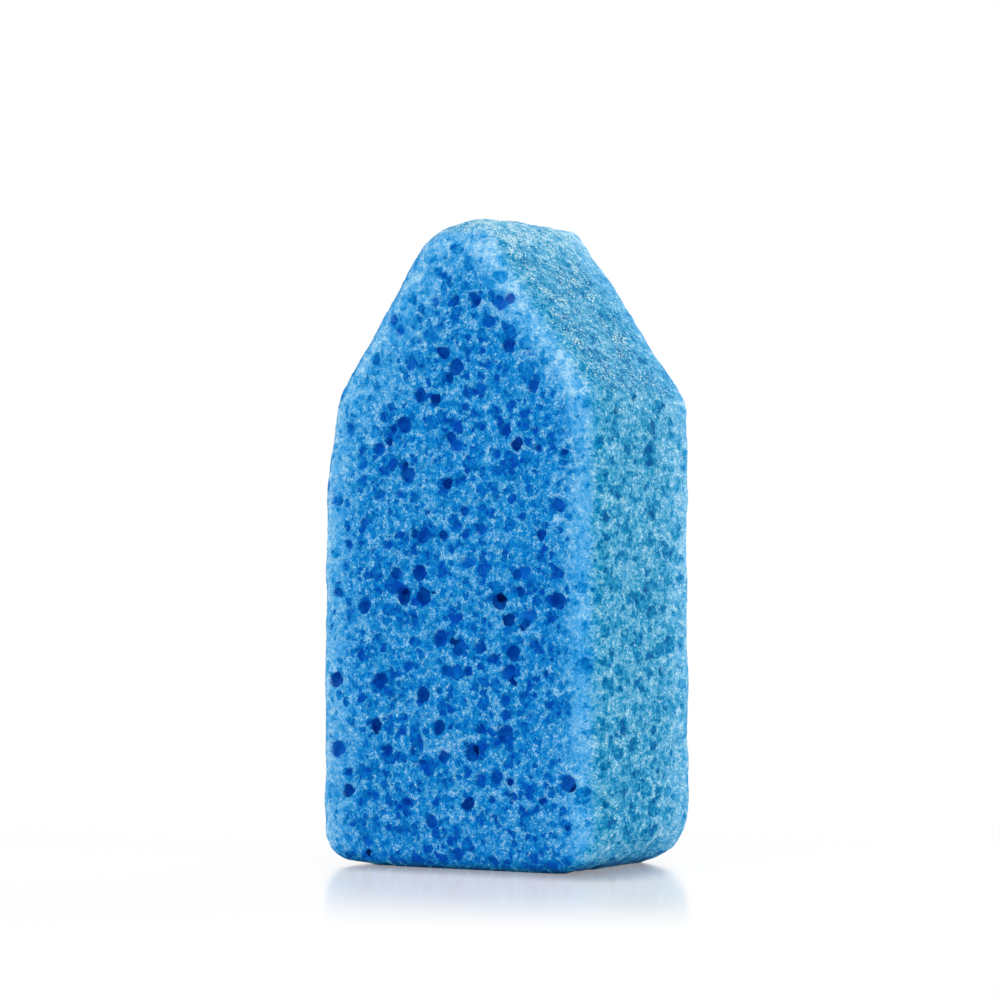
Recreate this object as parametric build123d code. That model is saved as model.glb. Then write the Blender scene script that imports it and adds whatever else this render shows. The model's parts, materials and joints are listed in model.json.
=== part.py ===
from build123d import *

import math
import os
import random

# A hand-held body buffer: one block of coarse, soap-infused foam, cut from a slab to the shape of
# a house with a narrow flat roof, and softened at every edge. It stands on its flat base. The
# blade opens the foam's cells wherever it passes, so each face is pitted with pockets.
#
# Millimetres. +Z is up, the front face looks along -Y and +X is on its right. The origin is on
# the floor, under the middle of the block.

# The block
BODY_WIDTH = 62.0
BODY_DEPTH = 43.0
BODY_HEIGHT = 126.0
RIGHT_SHOULDER_HEIGHT = 90.5
LEFT_SHOULDER_HEIGHT = 91.5
LEFT_SIDE_LEAN = 2.9  # how far the left side leans in where it meets its shoulder
LEFT_LEAN_HEIGHT = 18.0  # the stretch below the shoulder that leans
ROOF_LEFT = 5.0  # the roof's two edges, to the left and right of the middle
ROOF_RIGHT = 6.0

# Its softened edges
RIGHT_SHOULDER_RADIUS = 4.0
LEFT_SHOULDER_RADIUS = 9.0
LEFT_LEAN_RADIUS = 40.0
RIGHT_ROOF_RADIUS = 7.0
LEFT_ROOF_RADIUS = 9.5
RIGHT_BASE_RADIUS = 9.0
LEFT_BASE_RADIUS = 8.0
RIM_RADIUS = 5.0  # all round the front face and the back face

# The cut cells: the width of each grade over its points, and how many a square centimetre shows
LARGE_CELL = 4.4
LARGE_CELLS_PER_CM2 = 0.27
MEDIUM_CELL = 3.3
MEDIUM_CELLS_PER_CM2 = 0.5
SMALL_CELL = 2.3
SMALL_CELLS_PER_CM2 = 0.38
CELL_WALL = 0.4  # the least foam left between two cells
SHALLOWEST_CUT = -0.2  # where a cell's centre lies below the face, as a share of its radius
DEEPEST_CUT = 0.5
TRIES_PER_CELL = 40

FULLEST_FILLET = 0.95  # a fillet takes at most this much of the room that it has


def outline():
    """The front view of the block, as one closed face."""
    half = BODY_WIDTH / 2
    corners = [
        (-half, 0, LEFT_BASE_RADIUS),
        (half, 0, RIGHT_BASE_RADIUS),
        (half, RIGHT_SHOULDER_HEIGHT, RIGHT_SHOULDER_RADIUS),
        (ROOF_RIGHT, BODY_HEIGHT, RIGHT_ROOF_RADIUS),
        (-ROOF_LEFT, BODY_HEIGHT, LEFT_ROOF_RADIUS),
        (LEFT_SIDE_LEAN - half, LEFT_SHOULDER_HEIGHT, LEFT_SHOULDER_RADIUS),
        (-half, LEFT_SHOULDER_HEIGHT - LEFT_LEAN_HEIGHT, LEFT_LEAN_RADIUS),
    ]
    points = [Vector(x, z) for x, z, radius in corners]
    radii = []
    for i, (x, z, radius) in enumerate(corners):
        before = points[i - 1] - points[i]
        after = points[(i + 1) % len(points)] - points[i]
        turn = 180 - before.get_angle(after)
        room = min(before.length, after.length) / 2 / math.tan(math.radians(turn / 2))
        radii.append(min(radius, FULLEST_FILLET * room))
    return make_face(FilletPolyline(*points, radius=radii, close=True))


def block():
    """The outline through the block's depth, with the rims of its front and its back rounded."""
    solid = extrude(Plane.XZ * outline(), amount=BODY_DEPTH / 2, both=True)
    return fillet(solid.faces().filter_by(Axis.Y).edges(), RIM_RADIUS)


def dodecahedron():
    """One whole cell, 1 from its centre to its points. Cells in foam press each other flat, into
    about twelve sides."""
    golden = (1 + math.sqrt(5)) / 2
    signs = (-1, 1)
    points = [(a, b, c) for a in signs for b in signs for c in signs]
    for a in signs:
        for b in signs:
            points.append((0, a / golden, b * golden))
            points.append((a / golden, b * golden, 0))
            points.append((a * golden, 0, b / golden))
    return ConvexPolyhedron([Vector(point) / math.sqrt(3) for point in points])


def cells_in(face, cell, rng):
    """Cells scattered over one flat face, the large ones first, clear of its edges and each other."""
    plane = Plane(face)
    spread = [plane.to_local_coords(corner.center()) for corner in face.vertices()]
    low = Vector(min(p.X for p in spread), min(p.Y for p in spread))
    high = Vector(max(p.X for p in spread), max(p.Y for p in spread))
    rim = face.outer_wire()
    grades = (
        (LARGE_CELL, LARGE_CELLS_PER_CM2),
        (MEDIUM_CELL, MEDIUM_CELLS_PER_CM2),
        (SMALL_CELL, SMALL_CELLS_PER_CM2),
    )
    placed = []
    for diameter, per_cm2 in grades:
        radius = diameter / 2
        wanted = round(per_cm2 * face.area / 100)
        tries = wanted * TRIES_PER_CELL
        while wanted > 0 and tries > 0:
            tries -= 1
            at = Vector(rng.uniform(low.X, high.X), rng.uniform(low.Y, high.Y))
            if any((at - other).length < radius + size + CELL_WALL for other, size in placed):
                continue
            mouth = plane.from_local_coords(at)
            if not face.is_inside(mouth) or rim.distance_to(mouth) < radius + CELL_WALL:
                continue
            placed.append((at, radius))
            wanted -= 1

    solids = []
    for at, radius in placed:
        sunk = radius * rng.uniform(SHALLOWEST_CUT, DEEPEST_CUT)
        centre = plane.from_local_coords(at - Vector(0, 0, sunk))
        turn = Rotation(rng.uniform(0, 360), rng.uniform(0, 360), rng.uniform(0, 360))
        solids.append(Pos(centre) * turn * scale(cell, by=radius))
    return solids


def sponge_block():
    """The block with its cells cut open. The base has none, so that it is one flat face to rest on."""
    body = block()
    cell = dodecahedron()
    rng = random.Random(7)
    base = body.faces().sort_by(Axis.Z)[0]
    cells = []
    for face in body.faces().filter_by(GeomType.PLANE):
        if face != base:
            cells += cells_in(face, cell, rng)
    return body - cells


os.makedirs("parts", exist_ok=True)
export_step(sponge_block(), "parts/sponge_block.step")
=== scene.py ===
import json
import math
import random

import bmesh
import bpy
from mathutils import Matrix, Vector
from mathutils.bvhtree import BVHTree

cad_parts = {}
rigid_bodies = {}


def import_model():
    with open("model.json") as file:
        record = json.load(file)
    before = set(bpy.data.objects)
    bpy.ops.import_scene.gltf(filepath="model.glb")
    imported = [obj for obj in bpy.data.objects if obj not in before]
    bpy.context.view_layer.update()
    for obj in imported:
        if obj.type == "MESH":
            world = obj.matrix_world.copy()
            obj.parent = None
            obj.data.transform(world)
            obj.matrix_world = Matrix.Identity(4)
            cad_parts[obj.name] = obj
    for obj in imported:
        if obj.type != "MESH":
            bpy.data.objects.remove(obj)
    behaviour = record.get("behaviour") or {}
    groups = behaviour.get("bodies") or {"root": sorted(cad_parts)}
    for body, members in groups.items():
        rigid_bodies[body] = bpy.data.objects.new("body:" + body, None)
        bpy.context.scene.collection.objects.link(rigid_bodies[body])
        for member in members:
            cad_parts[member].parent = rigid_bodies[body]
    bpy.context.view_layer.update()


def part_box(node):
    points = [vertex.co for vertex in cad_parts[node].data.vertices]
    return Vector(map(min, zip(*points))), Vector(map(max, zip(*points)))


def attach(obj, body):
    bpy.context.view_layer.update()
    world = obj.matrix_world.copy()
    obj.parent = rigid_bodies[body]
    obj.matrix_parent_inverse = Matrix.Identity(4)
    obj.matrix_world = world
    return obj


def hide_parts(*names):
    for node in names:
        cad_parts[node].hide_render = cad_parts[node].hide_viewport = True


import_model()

# ---- The uncut block ----------------------------------------------------------------------------
# One block of coarse polyurethane foam, with soap run through it. It was sawn from a slab to the
# shape of a house with a narrow flat roof, its base is flat to stand on, and its edges are soft.

low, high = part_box("sponge_block")
LEFT, RIGHT, FRONT, BACK = low.x, high.x, low.y, high.y
ROOF = high.z
LEFT_SHOULDER = 0.0915
RIGHT_SHOULDER = 0.0905
LEAN_FOOT = 0.0735  # where the left side starts to lean in
LEAN = 0.0029  # how far it leans in at its shoulder
ROOF_LEFT, ROOF_RIGHT = -0.0050, 0.0060
ROOF_TILT = 0.0006  # how far the roof's front edge lies under its middle, and its back edge over it
LIFT_WIDTH, LIFT = 0.0140, 0.0010  # the left end of the base rises off the floor

# How far each soft edge reaches over the faces beside it
RIM = 0.0052  # round the front and the back
BACK_RIM = 0.0034  # where the roof meets the back
ROOF_RIM = 0.0085  # where the roof meets the front
ROOF_SOFT = (0.0056, 0.0024)  # each pair is the left and the right
SHOULDER_SOFT = (0.0024, 0.0013)
BASE_SIDE_SOFT = (0.0064, 0.0095)
BASE_FACE_SOFT = (0.0030, 0.0080)  # under the front and the back
SOFTEST = 0.0100  # a bevel weight of 1

SAME_PLACE = 0.0002  # two places nearer than this are one
FLAT_FOOT = 0.003  # the roughness grows from none on the floor to all of it at this height
FOAM_VOXEL = 0.0009
SWELLS = ((0.0120, 0.0007), (0.0050, 0.0006))  # the sawn skin's: (spacing, reach)


def only(piece):
    """Selects this piece and nothing else."""
    bpy.ops.object.select_all(action="DESELECT")
    piece.select_set(True)
    bpy.context.view_layer.objects.active = piece


def finish_with(piece, kind, **settings):
    """Adds a modifier to the piece, sets it and applies it."""
    modifier = piece.modifiers.new(kind, kind)
    for name, value in settings.items():
        setattr(modifier, name, value)
    only(piece)
    bpy.ops.object.modifier_apply(modifier=modifier.name)


def pick(parts, test):
    """In edit mode, selects the corners, edges or faces whose middle passes the test."""
    bpy.ops.mesh.select_mode(type={"verts": "VERT", "edges": "EDGE", "faces": "FACE"}[parts])
    bpy.ops.mesh.select_all(action="DESELECT")
    mesh = bmesh.from_edit_mesh(bpy.context.object.data)
    for part in getattr(mesh, parts):
        corners = [part] if parts == "verts" else part.verts
        middle = sum((corner.co for corner in corners), Vector()) / len(corners)
        if test(middle):
            part.select_set(True)
    bmesh.update_edit_mesh(bpy.context.object.data)


def near(value, place):
    return abs(value - place) < SAME_PLACE


def soften(reach, test):
    """Weighs the edges whose middle passes the test for the bevel that follows."""
    pick("edges", test)
    bpy.ops.transform.edge_bevelweight(value=reach / SOFTEST)


def roughen(piece, kinds):
    """Moves the skin in and out by cloudy patterns: (spacing, reach). The base stays flat."""
    group = piece.vertex_groups.new(name="above_base")
    for vertex in piece.data.vertices:
        group.add([vertex.index], min(1, max(0, vertex.co.z / FLAT_FOOT)), "REPLACE")
    for spacing, reach in kinds:
        clouds = bpy.data.textures.new("clouds", "CLOUDS")
        clouds.noise_scale = spacing
        clouds.noise_depth = 1
        finish_with(
            piece,
            "DISPLACE",
            texture=clouds,
            strength=reach,
            mid_level=0.5,
            vertex_group=group.name,
        )


bpy.ops.object.select_all(action="DESELECT")
bpy.ops.mesh.primitive_cube_add(
    size=1,
    location=((LEFT + RIGHT) / 2, (FRONT + BACK) / 2, RIGHT_SHOULDER / 2),
    scale=(RIGHT - LEFT, BACK - FRONT, RIGHT_SHOULDER),
)
block = bpy.context.object
block.name = "foam_block"
bpy.ops.object.transform_apply(location=True, rotation=True, scale=True)
bpy.ops.object.mode_set(mode="EDIT")
bpy.ops.mesh.select_all(action="SELECT")
bpy.ops.mesh.bisect(plane_co=(0, 0, LEAN_FOOT), plane_no=(0, 0, 1))
pick("faces", lambda at: near(at.z, RIGHT_SHOULDER))
bpy.ops.mesh.extrude_region_move(
    TRANSFORM_OT_translate={"value": (0, 0, ROOF - RIGHT_SHOULDER)}
)
bpy.ops.transform.resize(
    value=((ROOF_RIGHT - ROOF_LEFT) / (RIGHT - LEFT), 1, 1), center_override=(0, 0, ROOF)
)
bpy.ops.transform.translate(value=((ROOF_LEFT + ROOF_RIGHT) / 2, 0, 0))
pick("verts", lambda at: near(at.x, LEFT) and near(at.z, RIGHT_SHOULDER))
bpy.ops.transform.translate(value=(LEAN, 0, LEFT_SHOULDER - RIGHT_SHOULDER))

bpy.ops.mesh.select_all(action="SELECT")
bpy.ops.mesh.bisect(plane_co=(LEFT + LIFT_WIDTH, 0, 0), plane_no=(1, 0, 0))
pick("verts", lambda at: near(at.x, LEFT) and near(at.z, 0))
bpy.ops.transform.translate(value=(0, 0, LIFT))

bpy.ops.mesh.select_all(action="SELECT")
bpy.ops.mesh.dissolve_limited(angle_limit=math.radians(1))
soften(RIM, lambda at: near(abs(at.y), BACK) and at.z > LIFT)
soften(ROOF_RIM - RIM, lambda at: near(at.y, FRONT) and near(at.z, ROOF))
soften(BACK_RIM - RIM, lambda at: near(at.y, BACK) and near(at.z, ROOF))
soften(ROOF_SOFT[0], lambda at: near(at.y, 0) and near(at.x, ROOF_LEFT))
soften(ROOF_SOFT[1], lambda at: near(at.y, 0) and near(at.x, ROOF_RIGHT))
soften(SHOULDER_SOFT[0], lambda at: near(at.y, 0) and near(at.z, LEFT_SHOULDER))
soften(SHOULDER_SOFT[1], lambda at: near(at.y, 0) and near(at.z, RIGHT_SHOULDER))
soften(BASE_SIDE_SOFT[0], lambda at: near(at.z, LIFT) and near(at.x, LEFT))
soften(BASE_SIDE_SOFT[1], lambda at: near(at.z, 0) and near(at.x, RIGHT))
soften(BASE_FACE_SOFT[0], lambda at: at.z < LIFT and near(at.y, FRONT))
soften(BASE_FACE_SOFT[1], lambda at: at.z < LIFT and near(at.y, BACK))
for face, rise in ((FRONT, -ROOF_TILT), (BACK, ROOF_TILT)):
    pick("verts", lambda at: near(at.y, face) and near(at.z, ROOF))
    bpy.ops.transform.translate(value=(0, 0, rise))
bpy.ops.object.mode_set(mode="OBJECT")
finish_with(
    block, "BEVEL", limit_method="WEIGHT", width=SOFTEST, segments=8, use_clamp_overlap=False
)
finish_with(block, "REMESH", mode="VOXEL", voxel_size=FOAM_VOXEL)
finish_with(block, "SMOOTH", factor=0.5, iterations=4)

# The blade doesn't leave a true plane: the skin swells and dips by a fraction of a millimetre.
roughen(block, SWELLS)

# ---- The cut cells ------------------------------------------------------------------------------
# The foam's cells are round pockets, a few to the square centimetre large enough to see into. The
# blade opens each one at another depth, and some break through into the cell behind them.

GRADES = (  # the least and most radius of each grade, and how many a square centimetre shows
    (0.00120, 0.00190, 1.0),
    (0.00060, 0.00110, 2.2),
)
LARGE = GRADES[0][0]
SUNK = (-0.45, 0.55)  # where a cell's centre lies under the skin, as a share of its radius
SQUASH = 0.85  # the least width of a cell, as a share of its length
DENT_SPACING, DENT_REACH = 0.0008, 0.0020  # no cell is quite round
WALL = 0.00025  # the least foam between two cells
TWINS = 0.5  # the share of the large cells that break through into another
TWIN_SIZE = (0.5, 0.8)  # the other's radius, as a share of the large one's
TWIN_AWAY = (0.7, 0.9)  # and how far off it lies, as a share of the two radii
SIDE_CLOSED = 0.85  # how many fewer open on the sides, where the saw ran along them
SLOPE_SHARE = 0.02  # the share of those that open on the slopes and the roof
TRIES = 3  # places looked at for each cell that is wanted
SQUARE_METRE = 1e4  # in square centimetres
EDGE_CELLS = 0.04  # the share of cells near the outline of the front and the back
EDGE_FLATNESS = (0.80, 0.985)  # on a rounded edge fewer cells are open, and none at its middle

skin = block.copy()
skin.data = block.data.copy()
bpy.context.collection.objects.link(skin)

slope = Vector((ROOF - RIGHT_SHOULDER, 0, RIGHT - ROOF_RIGHT)).normalized()
left_slope = Vector((LEFT_SHOULDER - ROOF, 0, ROOF_LEFT - LEFT - LEAN)).normalized()
left_lean = Vector((LEAN_FOOT - LEFT_SHOULDER, 0, LEAN)).normalized()
SAWN = (
    Vector((1, 0, 0)),
    Vector((-1, 0, 0)),
    Vector((0, 1, 0)),
    Vector((0, -1, 0)),
    Vector((0, 0, 1)),
    Vector((0, 0, -1)),
    slope,
    left_slope,
    left_lean,
)

# Light comes into the foam through each side of the outline: the way out through that side, a
# point of it, and how far inside it the light starts to fade and is gone.
OUTLINE = (
    (SAWN[0], Vector((RIGHT, 0, 0)), 0.0018, 0.0090),
    (SAWN[1], Vector((LEFT, 0, 0)), 0.0010, 0.0120),
    (SAWN[4], Vector((0, 0, ROOF)), 0.0030, 0.0140),
    (slope, Vector((RIGHT, 0, RIGHT_SHOULDER)), 0.0034, 0.0094),
    (left_slope, Vector((LEFT + LEAN, 0, LEFT_SHOULDER)), 0.0014, 0.0160),
    (left_lean, Vector((LEFT, 0, LEAN_FOOT)), 0.0010, 0.0120),
)


def within(place):
    """How far inside the outline a place is: below 0 at its edge, and 1 where no light comes in."""
    return min((way.dot(on - place) - most) / (gone - most) for way, on, most, gone in OUTLINE)


def flatness(normal):
    """1 on the sawn faces, and less on the rounded edges between them."""
    least, most = EDGE_FLATNESS
    return min(1, max(0, (max(normal.dot(way) for way in SAWN) - least) / (most - least)))


def scatter(rng):
    """Finds the cells' places: (centre, radius, the set that it is cut with)."""
    cells = []

    def add(centre, size, normal):
        """Adds a cell, and now and then its twin, unless it would cut into another cell."""
        if any((centre - other).length < size + radius + WALL for other, radius, _ in cells):
            return False
        cells.append((centre, size, 0))
        if size > LARGE and rng.random() < TWINS:
            way = Vector((rng.gauss(0, 1), rng.gauss(0, 1), rng.gauss(0, 1))).normalized()
            way -= normal * (way.dot(normal) + abs(way.dot(normal)))  # never outwards
            smaller = size * rng.uniform(*TWIN_SIZE)
            beside = centre + way * (size + smaller) * rng.uniform(*TWIN_AWAY)
            twins = [twin for twin in cells if twin[2] == 1]
            if all((beside - other).length > smaller + radius for other, radius, _ in twins):
                cells.append((beside, smaller, 1))
        return True

    faces = skin.data.polygons
    areas = [face.area for face in faces]
    for least, most, per_cm2 in GRADES:
        wanted = round(per_cm2 * sum(areas) * SQUARE_METRE)
        for face in rng.choices(faces, weights=areas, k=wanted * TRIES):
            if wanted == 0:
                break
            size = rng.uniform(least, most)
            sunk = size * rng.uniform(*SUNK)
            share = flatness(face.normal) * (1 - SIDE_CLOSED * face.normal.xz.length)
            if abs(face.normal.y) > 0.5:  # in the front or the back
                share *= min(1, max(EDGE_CELLS, within(face.center)))
            if face.normal.z > 0.3:  # on a slope or the roof
                share *= SLOPE_SHARE
            if rng.random() > share:
                continue
            if add(face.center - face.normal * sunk, size, face.normal):
                wanted -= 1
    return cells


rng = random.Random(11)
cells = [  # no large cell is open in the right side
    (centre, size, which)
    for centre, size, which in scatter(rng)
    if size < LARGE or centre.x < RIGHT - 2 * size
]
bpy.ops.object.select_all(action="DESELECT")
bpy.ops.mesh.primitive_ico_sphere_add(subdivisions=3, radius=1)
one_cell = bpy.context.object
dents = bpy.data.textures.new("dents", "CLOUDS")
dents.noise_scale = DENT_SPACING
for which in range(2):
    bpy.ops.object.select_all(action="DESELECT")
    copies = []
    for centre, size, mine in cells:
        if mine != which:
            continue
        cell = one_cell.copy()
        cell.data = one_cell.data.copy()
        bpy.context.collection.objects.link(cell)
        turn = Matrix.Rotation(rng.uniform(0, math.tau), 4, Vector((rng.random(), rng.random(), 1)))
        squash = Matrix.Diagonal((rng.uniform(SQUASH, 1), rng.uniform(SQUASH, 1), 1, 1))
        cell.matrix_world = Matrix.Translation(centre) @ turn @ Matrix.Scale(size, 4) @ squash
        copies.append(cell)
    for cell in copies:
        cell.select_set(True)
    bpy.context.view_layer.objects.active = copies[0]
    bpy.ops.object.join()
    cutter = bpy.context.object
    bpy.ops.object.transform_apply(location=True, rotation=True, scale=True)
    finish_with(cutter, "DISPLACE", texture=dents, strength=DENT_REACH, mid_level=0.5)
    finish_with(block, "BOOLEAN", operation="DIFFERENCE", solver="MANIFOLD", object=cutter)
    bpy.data.objects.remove(cutter)
bpy.data.objects.remove(one_cell)

# The torn walls between the cells leave a rough, granular skin.
CELL_VOXEL = 0.00042
GRAINS = ((0.0014, 0.0002), (0.0007, 0.0001))  # (spacing, reach)
TRIANGLES = 188000
SOLE = 0.0002  # what lies lower than this is pressed flat on the floor
finish_with(block, "REMESH", mode="VOXEL", voxel_size=CELL_VOXEL)
roughen(block, GRAINS)
finish_with(block, "DECIMATE", ratio=TRIANGLES / (2 * len(block.data.polygons)))

only(block)
bpy.ops.object.mode_set(mode="EDIT")
top = max(vertex.co.z for vertex in bmesh.from_edit_mesh(block.data).verts)
pick("verts", lambda at: at.z == top)
bpy.ops.mesh.select_linked()
bpy.ops.mesh.select_all(action="INVERT")
bpy.ops.mesh.delete(type="VERT")
pick("verts", lambda at: at.z < SOLE)
bpy.ops.transform.resize(value=(1, 1, 0), center_override=(0, 0, 0))
bpy.ops.mesh.select_all(action="SELECT")
bpy.ops.mesh.normals_make_consistent(inside=False)
bpy.ops.object.mode_set(mode="OBJECT")
bpy.ops.object.shade_smooth()

# How deep each point lies under the skin, which way the skin over it faces, and how far inside
# the block's long edges it is: 1 where no light comes through from the face beyond the edge. The
# two reaches are how far the light comes in from the front and from the back.
tree = BVHTree.FromPolygons(
    [vertex.co for vertex in skin.data.vertices],
    [face.vertices for face in skin.data.polygons],
)
FRONT_REACH, BACK_REACH = 0.0042, 0.0170
attributes = block.data.attributes
for name, kind in (("depth", "FLOAT"), ("inside", "FLOAT"), ("facing", "FLOAT_VECTOR")):
    attributes.new(name, kind, "POINT")
depth, inside, facing = (attributes[name].data for name in ("depth", "inside", "facing"))
for vertex in block.data.vertices:
    here = vertex.co
    at, normal, face, distance = tree.find_nearest(here)
    from_face = min((here.y - FRONT) / FRONT_REACH, (BACK - here.y) / BACK_REACH)
    depth[vertex.index].value = distance
    inside[vertex.index].value = max(within(here), from_face)
    facing[vertex.index].vector = normal
bpy.data.objects.remove(skin)


class Shade:
    """A socket of a material. Sums that are written on it add Math nodes."""

    def __init__(self, tree, socket=None):
        self.tree = tree
        self.socket = socket

    def node(self, kind, settings={}, values={}, output=0):
        """Adds a node, with its settings first and then its sockets' values or links."""
        made = self.tree.nodes.new(kind)
        for name, value in settings.items():
            if name == "stops":
                for index, (place, colour) in enumerate(value):
                    stops = made.color_ramp.elements
                    stop = stops[index] if index < 2 else stops.new(place)
                    stop.position = place
                    stop.color = colour
            else:
                setattr(made, name, value)
        for name, value in values.items():
            if isinstance(value, Shade):
                self.tree.links.new(value.socket, made.inputs[name])
            else:
                made.inputs[name].default_value = value
        return Shade(self.tree, made.outputs[output] if made.outputs else None)

    def other(self, output):
        """Another output of the same node."""
        return Shade(self.tree, self.socket.node.outputs[output])

    def seen(self):
        """1 where the camera looks, also in a mirror or through glass, and 0 where light falls."""
        ray = self.node("ShaderNodeLightPath", output="Is Camera Ray")
        return ray + ray.other("Is Glossy Ray") + ray.other("Is Transmission Ray")

    def math(self, operation, *values):
        return self.node("ShaderNodeMath", {"operation": operation}, dict(enumerate(values)))

    def step(self, start, end):
        """0 up to start, 1 from end on, and an even curve between."""
        return self.node(
            "ShaderNodeMapRange",
            {"interpolation_type": "SMOOTHSTEP"},
            {"Value": self, "From Min": start, "From Max": end},
        )

    def mix(self, other, share):
        """This colour, with that share of the other in it."""
        return self.node(
            "ShaderNodeMix", {"data_type": "RGBA"}, {0: share, 6: self, 7: other}, output=2
        )

    def __add__(self, other):
        return self.math("ADD", self, other)

    def __radd__(self, other):
        return self.math("ADD", other, self)

    def __sub__(self, other):
        return self.math("SUBTRACT", self, other)

    def __rsub__(self, other):
        return self.math("SUBTRACT", other, self)

    def __mul__(self, other):
        return self.math("MULTIPLY", self, other)

    def __rmul__(self, other):
        return self.math("MULTIPLY", other, self)


def dye(red, green, blue):
    """A colour given in screen values from 0 to 255, as the linear one that a node takes."""
    values = [value / 255 for value in (red, green, blue)]
    return tuple(
        value / 12.92 if value <= 0.04045 else ((value + 0.055) / 1.055) ** 2.4 for value in values
    ) + (1,)


FRONT_TONES = (  # from the bottom of a cell, over the foam's mean at 0.5, to a torn strand
    (0.00, dye(0, 70, 178)),
    (0.09, dye(0, 84, 182)),
    (0.24, dye(0, 100, 187)),
    (0.37, dye(0, 113, 195)),
    (0.50, dye(0, 129, 205)),
    (0.64, dye(44, 148, 214)),
    (0.76, dye(80, 160, 221)),
    (0.90, dye(108, 174, 229)),
    (1.00, dye(150, 205, 243)),
)
# On the sides, slopes and roof the foam is painted paler and tealer: a painted reflection of the
# white room, which the foam mirrors faintly where it is seen at a slant.
SIDE_TONES = (
    (0.00, dye(0, 84, 146)),
    (0.09, dye(0, 100, 157)),
    (0.24, dye(2, 120, 171)),
    (0.37, dye(22, 137, 183)),
    (0.50, dye(57, 153, 195)),
    (0.64, dye(87, 167, 205)),
    (0.76, dye(111, 179, 212)),
    (0.90, dye(134, 191, 220)),
    (1.00, dye(180, 220, 236)),
)
EDGE_TONES = (  # light comes through the foam where it is thin
    (0.00, dye(0, 96, 175)),
    (0.09, dye(0, 110, 184)),
    (0.24, dye(4, 129, 203)),
    (0.37, dye(38, 148, 215)),
    (0.50, dye(70, 163, 225)),
    (0.64, dye(91, 173, 229)),
    (0.76, dye(109, 182, 231)),
    (0.90, dye(130, 194, 234)),
    (1.00, dye(165, 214, 243)),
)
# Inside the open cells the colour is a darker blue than on the skin: painted shade, over the shade
# that the cells' walls cast.
INNER, SIDE_INNER = dye(0, 88, 200), dye(0, 105, 172)  # inside the open cells
# the colour of the painted glints, pale specks of painted highlight
PAINTED_GLINT = dye(232, 236, 210)
ALONG_SAW = (1, 0.7, 1)  # on the sides the saw has drawn the pattern out, from front to back

WIDE, MIDDLING, FINE = 0.0030, 0.0017, 0.0009  # the spacings of the smaller cells
PORES = (-0.25, 0.66)  # their least and most radius, as a share of that; below 0 there is none
CLUSTERED = 0.22  # how much larger they are where they crowd together
STRANDS, STRAND_WIDTH = 0.0010, 0.12  # their spacing, and their width as a share of it
IN_A_CELL = (0.0002, 0.0009)  # as deep as this under the skin, a point is inside an open cell
CROWN = (0.0120, 0.0010)  # below the roof: light comes in from above
FOOT = (0.0006, 0.0036)  # above the floor: hardly any light comes in
BACK_HALF = 0.0080  # from the middle back, along the drawn-out pattern
UPPER_HALF = (0.080, 0.120)  # between these heights the front grows a little paler

foam = bpy.data.materials.new("soaped_foam")
foam.use_nodes = True
foam.node_tree.nodes.clear()
start = Shade(foam.node_tree)
place = start.node(
    "ShaderNodeVectorMath",
    {"operation": "MULTIPLY"},
    {0: start.node("ShaderNodeTexCoord", output="Object"), 1: ALONG_SAW},
)
depth = start.node("ShaderNodeAttribute", {"attribute_name": "depth"}, output="Fac")
faced = start.node("ShaderNodeAttribute", {"attribute_name": "facing"}, output="Vector")
facing = start.node("ShaderNodeSeparateXYZ", values={0: faced}, output="Y")
inside = start.node("ShaderNodeAttribute", {"attribute_name": "inside"}, output="Fac")
height = start.node("ShaderNodeSeparateXYZ", values={0: place}, output="Z")


def noise(spacing, detail=2, source=place):
    """A cloudy pattern, 0 at its mean and about 1 at the most."""
    clouds = start.node(
        "ShaderNodeTexNoise", values={"Vector": source, "Scale": 1 / spacing, "Detail": detail}
    )
    return (clouds - 0.5) * 2


def warped(spacing, reach, source):
    """The place, moved by a cloudy pattern of this spacing."""
    clouds = start.node("ShaderNodeTexNoise", values={"Vector": source, "Scale": 1 / spacing})
    return start.node(
        "ShaderNodeVectorMath",
        {"operation": "MULTIPLY_ADD"},
        {0: clouds.other("Color"), 1: (reach, reach, reach), 2: source},
    )


ragged = warped(0.0005, 0.0009, warped(0.0020, 0.0020, place))
clusters = noise(0.0060, 1)


def pores(spacing, rim):
    """How dark the small cells of this spacing are, and 0 on the foam round them."""
    least, most = PORES
    seed = start.node("ShaderNodeTexVoronoi", values={"Vector": ragged, "Scale": 1 / spacing})
    chance = start.node("ShaderNodeSeparateColor", values={0: seed.other("Color")})
    radius = least + chance * (most - least) + CLUSTERED * clusters
    return seed.step(radius, radius - rim) * (0.35 + 0.65 * chance.other("Green"))


def strands(spacing, width):
    """1 along the torn walls between the finest cells."""
    wall = start.node(
        "ShaderNodeTexVoronoi",
        {"feature": "DISTANCE_TO_EDGE"},
        {"Vector": ragged, "Scale": 1 / spacing},
        "Distance",
    )
    return 1 - wall.step(0, width)


# Where a point is on the block. Each mask after the first line is 1 there: on the sides, slopes
# and roof, on the slopes and roof alone, in the back half, on the left side, where light comes
# through, on the rims under the slopes, near the floor, near the roof and inside an open cell.
up = facing.other("Z")
side = 1 - (facing.math("ABSOLUTE", facing) + 0.25 * noise(0.0020)).step(0.50, 1.0)
sloping = up.step(0.2, 0.5) * side
back = height.other("Y").step(0, BACK_HALF)
left = (1 - facing.other("X").step(-0.6, -0.1)) * (1 - back)
thin = 1 - (inside + 0.45 * noise(0.0032) + 0.20 * noise(0.0012, 1)).step(0.10, 1.0)
ridge = (up + 0.08 * noise(0.0020)).step(0.06, 0.22) * (1 - up.step(0.28, 0.56)) * (1 - left)
foot = 1 - (height + 0.0008 * noise(0.0030)).step(*FOOT)
crown = height.step(ROOF - CROWN[0], ROOF - CROWN[1]) * side
deep = (depth + 0.0008 * noise(0.0006)).step(*IN_A_CELL)
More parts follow.
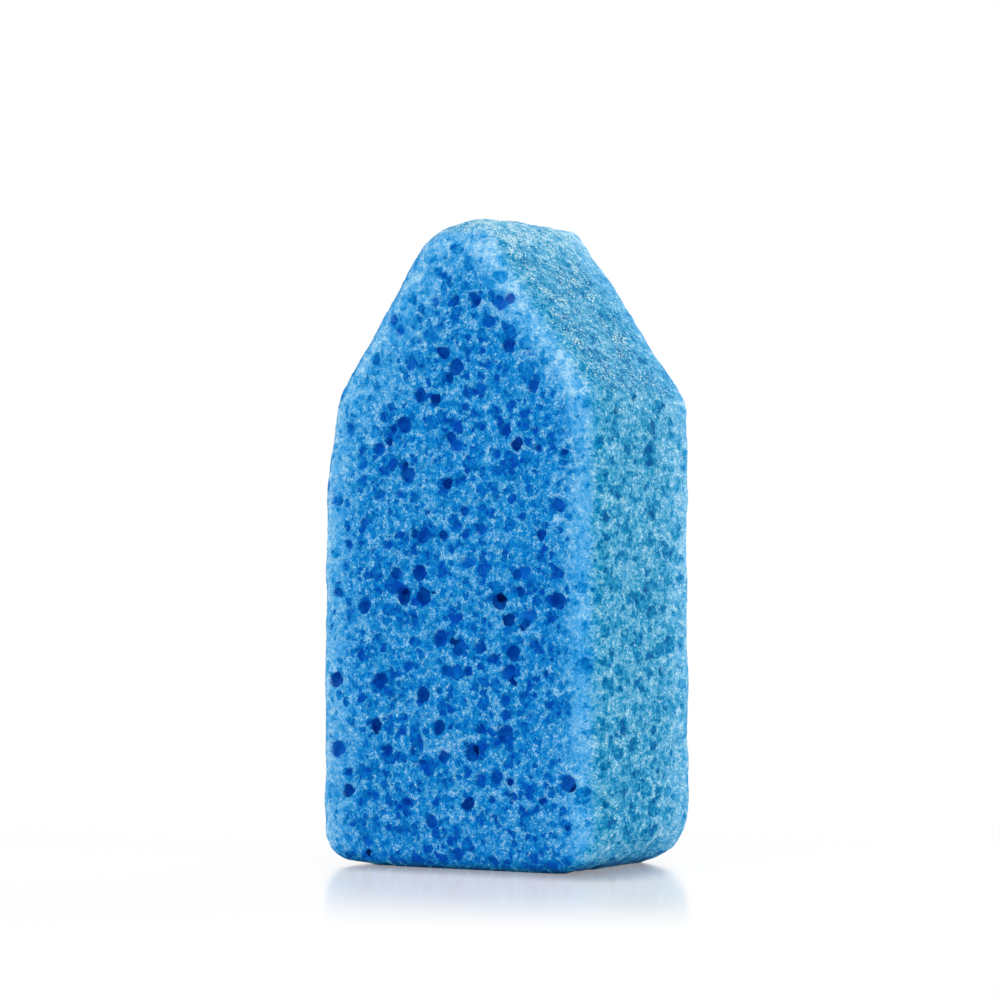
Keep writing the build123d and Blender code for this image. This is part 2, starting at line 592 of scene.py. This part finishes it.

# The smaller cells, fewer and fainter in the thin and the sawn places, and the walls round them.
# These cells are painted only, as darker spots: a painted shade of hollows that the mesh doesn't
# cut.
wide = pores(WIDE, 0.06)
middling = pores(MIDDLING, 0.08)
fine = pores(FINE, 0.14)
calm = (1 - 0.2 * thin) * (1 - 0.25 * side) * (1 - 0.4 * sloping)
opened = (0.46 * wide + 0.45 * middling + 0.26 * fine) * calm
closed = 1 - 1.6 * opened
wall = closed.math("MAXIMUM", closed, 0) * (1 - deep)
clumps = noise(0.0014, 3)
grain = noise(0.0004, 2)
crumbs = noise(0.0003, 1)
torn = (0.6 + clumps).step(0.35, 0.75) * (0.8 + crumbs).step(0.2, 1.0)
lace = strands(STRANDS, STRAND_WIDTH) * torn * wall * (1 - 0.35 * thin)

# Painted glints: pale specks in the colour stand for the light that glances off the soapy foam, on
# the sides and most on the slopes, which face the lamps above.
sparse = 0.43 - 0.16 * up.step(0.1, 0.6)
painted_glints = (noise(0.00035, 1) + 0.35 * noise(0.0040)).step(sparse, sparse + 0.14)
painted_glints = painted_glints * side * wall * (1 - foot) * (1 - 0.7 * thin)

# How pale the foam is, from 0 in the bottom of a cell to 1 on a torn strand: its mean, clouds of
# several sizes, the cells and strands, and then what each place on the block adds or takes. Much of
# that is painted light and shade: painted shade in the cells and near the floor, painted light
# where the foam is thin, on the rims under the slopes, under the roof and on the upper front, and
# the painted glints.
tone = (
    0.53
    + 0.26 * noise(0.0060) * (1 - 0.2 * side)
    + 0.44 * clumps * (1 - 0.3 * thin)
    + (0.15 * noise(0.0028, 1) + 0.16 * noise(0.0007, 1) + 0.03 - 0.08 * sloping) * side
    + (0.50 + 0.16 * side) * grain * (1 - 0.1 * thin) * wall
    + 0.15 * crumbs * wall
    - 0.10 * deep
    - opened
    + (0.50 - 0.2 * side) * lace
    # Painted light that comes through where the foam is thin: paler near the outline, more on the
    # sides' far half and most on the left rim, where the lamp on the left falls.
    + (0.08 + 0.14 * (side - 0.5 * sloping) * back + 0.30 * left * (1 - up.step(0.05, 0.3))) * thin
    # Painted light from the lamp over the block: the rims under the slopes are paler.
    + (0.24 + 0.20 * clumps) * ridge * thin
    + 0.08 * ridge * side
    + 0.34 * crown
    # Painted light from the lamp above: the upper front is a little paler.
    + 0.05 * height.step(*UPPER_HALF) * (1 - side) * (1 - thin)
    - 0.35 * foot
    + 0.6 * painted_glints
)
front = start.node("ShaderNodeValToRGB", {"stops": FRONT_TONES}, {0: tone})
sides = start.node("ShaderNodeValToRGB", {"stops": SIDE_TONES}, {0: tone})
edges = start.node("ShaderNodeValToRGB", {"stops": EDGE_TONES}, {0: tone})
# How much of the sides' paler, tealer tones each place takes: the painted reflection on the sides,
# slopes and roof, less on the left rim, and some everywhere, varied at random.
teal = 0.12 + 0.82 * side * (1 - 0.7 * left * thin) + (0.5 - 0.25 * side) * noise(0.0011, 1)
# Painted light: where the foam is thin it takes the paler tones that light coming through it gives.
colour = front.mix(sides, teal).mix(edges, 0.85 * thin * (1 - foot) * (1 - 0.5 * side))
inner = start.node(
    "ShaderNodeMix", {"data_type": "RGBA"}, {0: side, 6: INNER, 7: SIDE_INNER}, output=2
)
# Painted shade: the open cells take the darker inner colour.
colour = colour.mix(inner, (0.65 + 0.4 * clumps) * deep)
bumps = 0.06 * lace + 0.08 * grain - 0.25 * opened
start.node(
    "ShaderNodeOutputMaterial",
    values={
        "Surface": start.node(
            "ShaderNodeBsdfPrincipled",
            values={
                # the painted glints go into the colour here
                "Base Color": colour.mix(PAINTED_GLINT, painted_glints.step(0.4, 1.0)),
                "Roughness": 0.7 - 0.3 * lace,
                "Specular IOR Level": 0.03,
                "Normal": start.node("ShaderNodeBump", values={"Distance": 0.001, "Height": bumps}),
            },
        )
    },
)
block.data.materials.clear()
block.data.materials.append(foam)

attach(block, "root")
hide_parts("sponge_block")

# ---- The floor ----------------------------------------------------------------------------------
# A plain white sheet with a little polish, so that the block is mirrored faintly at its foot. The
# mirror image fades out a hand's width away.

MIRROR = 0.62
MIRROR_REACH = (0.03, 0.105)  # from here on it fades, and from there on it is gone
WHITE_SHARE = 0.85  # of the floor at the block's foot, to keep its shadow; it is all white far off
SHADOW_REACH = 0.25
WHITE_FROM = 0.02  # as far as this the floor is no whiter than at the block's foot
CONTACT = 0.016  # how far from the block its contact shadow reaches
CONTACT_MIRROR, CONTACT_SHADE = 0.45, 0.10  # how much more is mirrored there, and how much darker
POLISH = 0.14

bpy.ops.object.select_all(action="DESELECT")
bpy.ops.mesh.primitive_plane_add(size=8)
floor = bpy.context.object
floor.name = "floor"
sheet = bpy.data.materials.new("white_sheet")
sheet.use_nodes = True
sheet.node_tree.nodes.clear()
start = Shade(sheet.node_tree)
place = start.node("ShaderNodeTexCoord", output="Object")
past = start.node("ShaderNodeVectorMath", {"operation": "ABSOLUTE"}, {0: place})
past = start.node(
    "ShaderNodeVectorMath", {"operation": "SUBTRACT"}, {0: past, 1: (RIGHT, BACK, 0)}
)
past = start.node("ShaderNodeVectorMath", {"operation": "MAXIMUM"}, {0: past, 1: (0, 0, 0)})
away = start.node("ShaderNodeVectorMath", {"operation": "LENGTH"}, {0: past}, "Value")
gloss = start.node("ShaderNodeFresnel", values={"IOR": 1.45})
close = 1 - away.step(0, CONTACT)
mirror = gloss * (1 - away.step(*MIRROR_REACH)) * (MIRROR + CONTACT_MIRROR * close)
seen = start.seen()
pale = WHITE_SHARE + (1 - WHITE_SHARE) * away.step(WHITE_FROM, SHADOW_REACH)
pale = pale - CONTACT_SHADE * close
matt = start.node("ShaderNodeBsdfDiffuse", values={"Color": (0.9, 0.9, 0.9, 1)})
white = start.node("ShaderNodeEmission", values={"Color": (1, 1, 1, 1), "Strength": 1})
polish = start.node("ShaderNodeBsdfGlossy", values={"Color": (1, 1, 1, 1), "Roughness": POLISH})


def blend(share, one, other):
    return start.node("ShaderNodeMixShader", values={0: share, 1: one, 2: other})


start.node(
    "ShaderNodeOutputMaterial",
    values={"Surface": blend(mirror, blend(seen * pale, matt, white), polish)},
)
floor.data.materials.append(sheet)

# ---- The light and the camera -------------------------------------------------------------------
# Soft boxes stand on both sides of the block, one behind it and one over it, in a white room. The
# camera stands low, about sixty centimetres away and thirty degrees to the right of the front.

VIEW_TURN = math.radians(30)
CAMERA_AWAY = 0.620
CAMERA_HEIGHT = 0.04998
CAMERA_ASIDE = -0.00141
CAMERA_PITCH = math.radians(1.97)
LENS, SENSOR = 113.04, 36

towards_camera = Vector((math.sin(VIEW_TURN), -math.cos(VIEW_TURN), 0))
to_its_right = Vector((math.cos(VIEW_TURN), math.sin(VIEW_TURN), 0))
camera = bpy.data.objects.new("camera", bpy.data.cameras.new("camera"))
bpy.context.collection.objects.link(camera)
camera.location = (
    towards_camera * CAMERA_AWAY + to_its_right * CAMERA_ASIDE + Vector((0, 0, CAMERA_HEIGHT))
)
camera.rotation_euler = (math.pi / 2 + CAMERA_PITCH, 0, VIEW_TURN)
camera.data.lens = LENS
camera.data.sensor_width = SENSOR
camera.data.clip_start = 0.01
bpy.context.scene.camera = camera

MIDDLE = Vector((0, 0, ROOF / 2))
LAMPS = (  # the turn from the camera, the height over the floor, away, size, power, colour
    (-55, 0.5, 0.9, 0.7, 3.2, (1, 1, 1)),
    (60, 0.45, 0.9, 0.6, 2.8, (1, 0.99, 0.96)),
    (140, 0.45, 0.9, 0.6, 4.0, (1, 0.98, 0.93)),
    (10, 1.3, 0.5, 0.9, 3.2, (1, 1, 1)),
)
for turn, lift, away, size, power, colour in LAMPS:
    angle = VIEW_TURN + math.radians(turn)
    lamp = bpy.data.objects.new("soft_box", bpy.data.lights.new("soft_box", "AREA"))
    bpy.context.collection.objects.link(lamp)
    lamp.data.size = size
    lamp.data.energy = power
    lamp.data.color = colour
    lamp.location = Vector((math.sin(angle), -math.cos(angle), 0)) * away + Vector((0, 0, lift))
    lamp.rotation_euler = (MIDDLE - lamp.location).to_track_quat("-Z", "Y").to_euler()

ROOM = 0.62  # how much light the white room gives; it is seen as plain white all the same
world = bpy.data.worlds.new("white_room")
bpy.context.scene.world = world
world.use_nodes = True
world.node_tree.nodes.clear()
start = Shade(world.node_tree)
strength = ROOM + start.seen() * (1 - ROOM)
start.node(
    "ShaderNodeOutputWorld",
    values={
        "Surface": start.node(
            "ShaderNodeBackground", values={"Color": (1, 1, 1, 1), "Strength": strength}
        )
    },
)
bpy.context.scene.view_settings.view_transform = "Standard"
